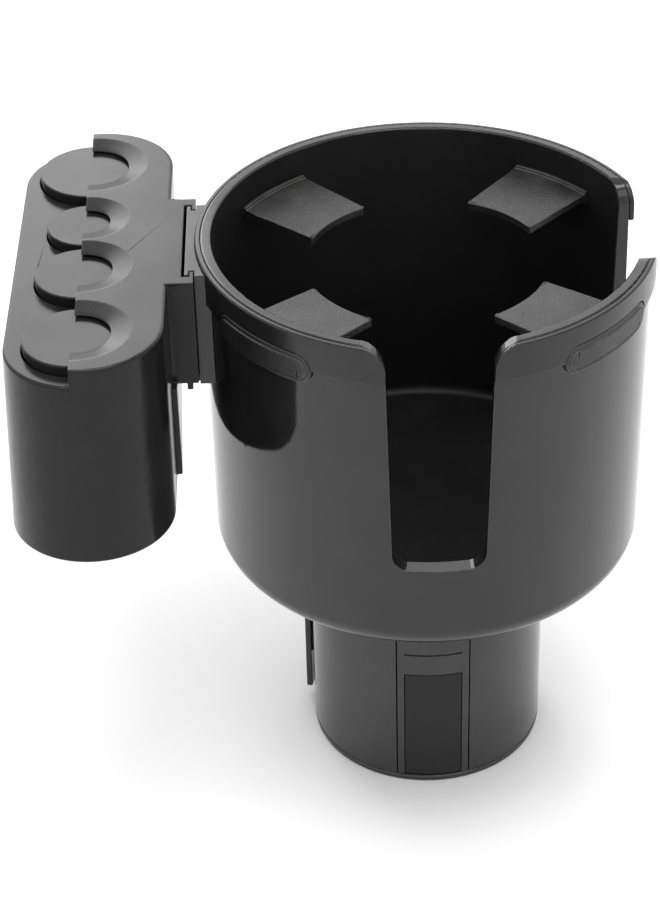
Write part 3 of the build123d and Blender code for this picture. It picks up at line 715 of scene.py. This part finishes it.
def settle(piece: bpy.types.Object, body: str, nodes: Sequence[str]) -> None:
    """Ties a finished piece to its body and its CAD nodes.

    Args:
        piece: The finished piece.
        body: The CAD body that it rides on.
        nodes: The CAD nodes that it stands for.
    """
    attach(piece, body)
    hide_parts(*nodes)
    LOG.info("%s on %s, %d faces", piece.name, body, len(piece.data.polygons))


@dataclass(frozen=True)
class Moulding:
    """One CAD node that is shown as a merged copy with eased edges."""

    node: str
    body: str
    slot: Slot
    finish: MouldedFinish
    edge: EasedEdge = EasedEdge()
    lining: ShadedLining | None = None

    def build(self, shelf: FinishShelf) -> bpy.types.Object:
        """Makes the piece.

        Args:
            shelf: Where the materials are.

        Returns:
            The finished piece.
        """
        piece = merged_copy(self.node, f"{self.node}_piece")
        self.edge.ease(piece, shelf.material(self.finish))
        if self.lining:
            self.lining.lay(piece, shelf.material(self.lining.finish))
        settle(piece, self.body, [self.node])
        return piece


@dataclass(frozen=True)
class CoilSpring:
    """A spring that stands on one body, shown as a merged copy; its joint and press are not used."""

    node: str
    body: str
    joint: str
    press: float
    smooth_below: float = math.radians(62.0)

    def build(self, shelf: FinishShelf) -> bpy.types.Object:
        """Makes the piece.

        Args:
            shelf: Where the materials are.

        Returns:
            The finished piece.
        """
        piece = merged_copy(self.node, f"{self.node}_piece")
        piece.data.materials.clear()
        piece.data.materials.append(shelf.material(shelf.SPRING))
        bpy.ops.object.shade_smooth_by_angle(angle=self.smooth_below)
        settle(piece, self.body, [self.node])
        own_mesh(piece)
        return piece


@dataclass(frozen=True)
class CrossHeadScrew:
    """A screw with a cross recess, modelled once with its head's face down at the origin."""

    head_radius: float
    head_height: float
    thread_radius: float
    length: float
    shape: HeadShape = HeadShape.PAN
    sides: int = 36
    point: float = 0.35
    cross_reach: float = 0.62
    cross_depth: float = 0.55
    cross_width: float = 0.36
    cross_taper: float = 0.45
    edge: float = 0.00012

    def model(self) -> bpy.types.Object:
        """Makes the one screw that is copied to every place.

        Returns:
            The screw, pointing up.
        """
        clear_selection()
        bpy.ops.mesh.primitive_cylinder_add(vertices=self.sides, radius=self.head_radius,
                                            depth=self.head_height, location=(0, 0, self.head_height / 2))
        screw = bpy.context.object
        select_faces(screw, lambda middle, normal: normal.z > LOOKS_UP)
        if self.shape is HeadShape.PAN:
            bpy.ops.mesh.inset(thickness=self.head_radius - self.thread_radius)
        else:
            share = self.thread_radius / self.head_radius
            bpy.ops.transform.resize(value=(share, share, 1))
        self._draw_out(self.length - self.thread_radius)
        self._draw_out(self.thread_radius)
        bpy.ops.transform.resize(value=(self.point, self.point, 1))
        bpy.ops.object.mode_set(mode="OBJECT")
        bpy.ops.object.transform_apply(location=True, rotation=True, scale=True)
        self._cut_cross(screw)
        return screw

    @staticmethod
    def _draw_out(height: float) -> None:
        """Draws the selected face out upwards."""
        bpy.ops.mesh.extrude_region_move(TRANSFORM_OT_translate={"value": (0, 0, height)})

    def _cut_cross(self, screw: bpy.types.Object) -> None:
        """Sinks the driver's cross into the head.

        Args:
            screw: The screw to cut.
        """
        reach = self.head_radius * self.cross_reach
        depth = self.head_height * self.cross_depth
        for turn in (0.0, math.pi / 2):
            clear_selection()
            bpy.ops.mesh.primitive_cube_add(size=1.0, location=(0, 0, 0), rotation=(0, 0, turn),
                                            scale=(2 * reach, reach * self.cross_width, 2 * depth))
            cutter = bpy.context.object
            select_faces(cutter, lambda middle, normal: normal.z > LOOKS_UP)
            bpy.ops.transform.resize(value=(self.cross_taper, self.cross_taper, 1))
            bpy.ops.object.mode_set(mode="OBJECT")
            apply_modifier(screw, "BOOLEAN", object=cutter, operation="DIFFERENCE", solver="EXACT")
            bpy.data.objects.remove(cutter)

    def set_at(self, name: str, places: Sequence[Matrix], finish: SteelFinish,
               shelf: FinishShelf) -> bpy.types.Object:
        """Copies the screw to every place and joins the copies into one piece.

        Args:
            name: The piece's name.
            places: Where each screw stands.
            finish: The screws' finish.
            shelf: Where the materials are.

        Returns:
            The finished set of screws.
        """
        pattern = self.model()
        copies = []
        for place in places:
            copy = bpy.data.objects.new(name, pattern.data.copy())
            bpy.context.scene.collection.objects.link(copy)
            copy.data.transform(place)
            copies.append(copy)
        bpy.data.objects.remove(pattern)
        clear_selection()
        for copy in copies:
            copy.select_set(True)
        bpy.context.view_layer.objects.active = copies[0]
        bpy.ops.object.join()
        piece = bpy.context.object
        piece.name = name
        EasedEdge(self.edge, 2).ease(piece, shelf.material(finish))
        return piece


def ring_places(circle: float, height: float, angles: Sequence[float]) -> list[Matrix]:
    """Gives upright places round the cup's axis.

    Args:
        circle: Radius of the circle.
        height: Height of the places.
        angles: Turns from +X, in degrees.

    Returns:
        One matrix for each place.
    """
    return [Matrix.Rotation(math.radians(angle), 4, "Z") @ Matrix.Translation((circle, 0, height))
            for angle in angles]


@dataclass
class Base:
    """The base that stands in the vehicle's holder: housing, cap, three jaws and their pads."""

    post_circle: float = 0.0258
    post_angles: tuple[float, ...] = (90.0, 210.0, 330.0)
    screw_face: float = 0.0003
    screw: CrossHeadScrew = field(default_factory=lambda: CrossHeadScrew(0.00275, 0.0022, 0.0015, 0.014))
    jaws: tuple[str, ...] = ("front", "rear_right", "rear_left")

    def build(self, shelf: FinishShelf) -> None:
        """Makes every piece of the base.

        Args:
            shelf: Where the materials are.
        """
        for node in ("base_housing", "base_cap"):
            Moulding(node, "base", Slot.SATIN, shelf.PLUG, EasedEdge(0.0003, 3)).build(shelf)
        for jaw in self.jaws:
            body = f"jaw_{jaw}_body"
            Moulding(f"jaw_{jaw}", body, Slot.SATIN, shelf.PLUG, EasedEdge(0.00025, 3)).build(shelf)
            Moulding(f"jaw_pad_{jaw}", body, Slot.RUBBER, shelf.PAD, EasedEdge(0.00018)).build(shelf)
        places = ring_places(self.post_circle, self.screw_face, self.post_angles)
        screws = self.screw.set_at("base_screws_piece", places, shelf.SCREW, shelf)
        settle(screws, "base", ["base_screws"])


@dataclass
class Cup:
    """The cup with its collar, rubber tabs, slide bracket and the cam disc under its floor."""

    tabs: tuple[str, ...] = ("front_right", "rear_right", "rear_left", "front_left")
    rim: float = 0.1624
    rim_round: float = 0.0006
    lining_radius: float = 0.0560
    lining_above: float = 0.0764
    cam_screw_circle: float = 0.0085
    cam_screw_face: float = 0.0593
    cam_screw_angles: tuple[float, ...] = (90.0, 210.0, 330.0)
    cam_screw: CrossHeadScrew = field(default_factory=lambda: CrossHeadScrew(0.00275, 0.0022, 0.0015, 0.011))
    bracket_screw: CrossHeadScrew = field(
        default_factory=lambda: CrossHeadScrew(0.00275, 0.0022, 0.0015, 0.0036, HeadShape.COUNTERSUNK))
    bracket_face: float = -0.05487
    bracket_y: float = 0.0085
    bracket_z: float = 0.141

    def build(self, shelf: FinishShelf) -> None:
        """Makes every piece of the cup.

        Args:
            shelf: Where the materials are.
        """
        # The cup's inside takes the satin inner finish, whose darker colour paints the shade inside the cup.
        lining = ShadedLining(shelf.INNER_SHADED, self.lining_radius, self.lining_above, self.rim - self.rim_round)
        edge = EasedEdge(0.00030, 3, math.radians(50), spared=self._near_rim)
        Moulding("cup_body", "cup", Slot.GLOSS, shelf.GLOSS, edge, lining).build(shelf)
        Moulding("collar_short", "cup", Slot.SATIN, shelf.BAND, EasedEdge(0.00012)).build(shelf)
        Moulding("collar_long", "cup", Slot.SATIN, shelf.BAND, EasedEdge(0.00012)).build(shelf)
        Moulding("slide_bracket", "cup", Slot.SATIN, shelf.SATIN, EasedEdge(0.0002)).build(shelf)
        Moulding("cam_disc", "cup", Slot.SATIN, shelf.SATIN, EasedEdge(0.0002)).build(shelf)
        for tab in self.tabs:
            Moulding(f"grip_tab_{tab}", "cup", Slot.RUBBER, shelf.RUBBER, EasedEdge(0.0003, 3)).build(shelf)
        self._screws(shelf)

    def _near_rim(self, middle: Vector, first: Vector, second: Vector) -> bool:
        """Says whether an edge is in the rim's own rounding, which stays as it is."""
        return middle.z > self.rim - 1.5 * self.rim_round

    def _screws(self, shelf: FinishShelf) -> None:
        """Makes the cam's and the bracket's screws.

        Args:
            shelf: Where the materials are.
        """
        cam_places = ring_places(self.cam_screw_circle, self.cam_screw_face, self.cam_screw_angles)
        cam_screws = self.cam_screw.set_at("cam_screws_piece", cam_places, shelf.SCREW, shelf)
        settle(cam_screws, "cup", ["cam_screws"])
        outward = Matrix.Rotation(math.radians(-90), 4, "Y")
        places = [Matrix.Translation((self.bracket_face, side * self.bracket_y, self.bracket_z)) @ outward
                  for side in (-1, 1)]
        bracket_screws = self.bracket_screw.set_at("bracket_screws_piece", places, shelf.SCREW, shelf)
        settle(bracket_screws, "cup", ["bracket_screws"])


@dataclass
class CoinBox:
    """The coin box: housing, tubes, cover, and four sprung plungers."""

    slots: tuple[str, ...] = ("front", "mid_front", "mid_rear", "rear")
    post_x: float = -0.0865
    post_half: float = 0.0146
    post_ys: tuple[float, ...] = (-0.0272, 0.0284)
    cover_face: float = 0.1045
    plateau: float = 0.16105
    press: float = 0.034
    cover_screw: CrossHeadScrew = field(default_factory=lambda: CrossHeadScrew(0.0023, 0.0012, 0.0012, 0.009))

    def build(self, shelf: FinishShelf) -> None:
        """Makes every piece of the coin box.

        Args:
            shelf: Where the materials are.
        """
        edge = EasedEdge(0.00025, also=self._lip_edge)
        Moulding("coin_housing", "coin_box", Slot.GLOSS, shelf.HANDLED, edge).build(shelf)
        # The tubes take the darker inner finish, painted shade inside the box.
        Moulding("coin_tubes", "coin_box", Slot.SATIN, shelf.INNER_SHADED, EasedEdge(0.00015)).build(shelf)
        Moulding("coin_cover", "coin_box", Slot.SATIN, shelf.HANDLED, EasedEdge(0.0002)).build(shelf)
        places = [Matrix.Translation((self.post_x + side * self.post_half, y, self.cover_face))
                  for side in (-1, 1) for y in self.post_ys]
        screws = self.cover_screw.set_at("coin_cover_screws_piece", places, shelf.SCREW, shelf)
        settle(screws, "coin_box", ["coin_cover_screws"])
        for name in self.slots:
            Moulding(f"coin_plunger_{name}", f"plunger_{name}_body", Slot.SATIN, shelf.HANDLED,
                     EasedEdge(0.0001)).build(shelf)
            CoilSpring(f"coin_spring_{name}", "coin_box", f"plunger_{name}_press", self.press).build(shelf)

    def _lip_edge(self, middle: Vector, first: Vector, second: Vector) -> bool:
        """Says whether an edge is where a slot's bevelled mouth meets the raised half's flat top."""
        flat, slant = max(first.z, second.z), min(first.z, second.z)
        return middle.z > self.plateau - 0.00002 and flat > 0.9999 and 0.9 < slant < 0.998


@dataclass(frozen=True)
class Softbox:
    """One soft lamp that looks at the object."""

    name: str
    place: Triple
    width: float
    height: float
    radiance: float
    aim: Triple = (-0.02, 0.0, 0.1)

    def build(self) -> None:
        """Sets the lamp up."""
        lamp = bpy.data.lights.new(self.name, "AREA")
        lamp.shape = "RECTANGLE"
        lamp.size = self.width
        lamp.size_y = self.height
        lamp.energy = self.radiance * math.pi * self.width * self.height
        holder = bpy.data.objects.new(self.name, lamp)
        bpy.context.scene.collection.objects.link(holder)
        holder.location = self.place
        holder.rotation_euler = (Vector(self.aim) - Vector(self.place)).to_track_quat("-Z", "Y").to_euler()
        holder.visible_camera = False


@dataclass
class Studio:
    """The pale floor, the white surroundings, the lamps and the camera."""

    lamps: tuple[Softbox, ...] = (
        Softbox("RearLeftSoftbox", (-0.62, 1.30, 0.86), 1.0, 0.8, 3.9, (-0.62, 0.0, 0.1)),
        Softbox("RearRightSoftbox", (0.40, 1.30, 0.86), 1.04, 0.8, 1.0, (0.40, 0.0, 0.1)),
        Softbox("TopStrip", (0.0, -0.20, 1.4), 0.9, 0.4, 5.0),
        Softbox("FrontFill", (0.5, -1.3, 1.5), 1.0, 1.0, 1.2),
    )
    floor_size: float = 8.0
    floor_colour: float = 0.92
    floor_spread: float = 0.01
    fill: float = 1.0
    camera_place: Triple = (-0.0323, -0.5597, 0.4850)
    camera_forward: Triple = (0.0472, 0.8178, -0.5736)
    lens: float = 99.6
    shift_x: float = -0.1074

    def build(self) -> None:
        """Sets up everything round the object."""
        self._floor()
        self._surroundings()
        for lamp in self.lamps:
            lamp.build()
        self._camera()

    def _floor(self) -> None:
        """Lays the floor."""
        clear_selection()
        bpy.ops.mesh.primitive_plane_add(size=self.floor_size, location=(0, 0, 0))
        floor = bpy.context.object
        floor.name = "StudioFloor"
        material = bpy.data.materials.new("StudioPaper")
        material.use_nodes = True
        board = ShaderBoard(material.node_tree)
        paper = board.noise(board.object_place(), 60.0, 4.0)
        level = self.floor_colour
        pale = level + self.floor_spread
        colour = board.blend(paper, (level, level, level, 1.0), (pale, pale, pale, 1.0))
        shader = board.add("ShaderNodeBsdfPrincipled")
        board.feed(shader.inputs["Base Color"], colour)
        shader.inputs["Roughness"].default_value = 0.9
        shader.inputs["Specular IOR Level"].default_value = 0.0
        board.feed(board.add("ShaderNodeOutputMaterial").inputs["Surface"], shader.outputs[0])
        floor.data.materials.append(material)

    def _surroundings(self) -> None:
        """Makes the world: white to the camera and in reflections, softer as light."""
        world = bpy.data.worlds.new("WhiteStudio")
        bpy.context.scene.world = world
        world.use_nodes = True
        board = ShaderBoard(world.node_tree)
        rays = board.add("ShaderNodeLightPath")
        seen = board.math("MAXIMUM", rays.outputs["Is Camera Ray"], rays.outputs["Is Glossy Ray"])
        seen = board.math("MAXIMUM", seen, rays.outputs["Is Transmission Ray"])
        light = board.add("ShaderNodeBackground")
        board.feed(light.inputs["Strength"], board.span(seen, 0.0, 1.0, self.fill, 1.0))
        light.inputs["Color"].default_value = (1.0, 1.0, 1.0, 1.0)
        board.feed(board.add("ShaderNodeOutputWorld").inputs["Surface"], light.outputs[0])

    def _camera(self) -> None:
        """Places the camera."""
        data = bpy.data.cameras.new("Camera")
        data.sensor_fit = "VERTICAL"
        data.sensor_height = 36.0
        data.lens = self.lens
        data.shift_x = self.shift_x
        data.clip_start = 0.01
        camera = bpy.data.objects.new("Camera", data)
        bpy.context.scene.collection.objects.link(camera)
        camera.location = self.camera_place
        camera.rotation_euler = Vector(self.camera_forward).to_track_quat("-Z", "Y").to_euler()
        bpy.context.scene.camera = camera


def main() -> None:
    """Builds the assemblies in order, then the studio."""
    logging.basicConfig(level=logging.INFO, format="%(name)s: %(message)s")
    bpy.context.scene.view_settings.view_transform = "Standard"
    shelf = FinishShelf()
    for assembly in (Base(), Cup(), CoinBox()):
        LOG.info("building %s", type(assembly).__name__)
        assembly.build(shelf)
    Studio().build()


if __name__ == "__main__":
    main()
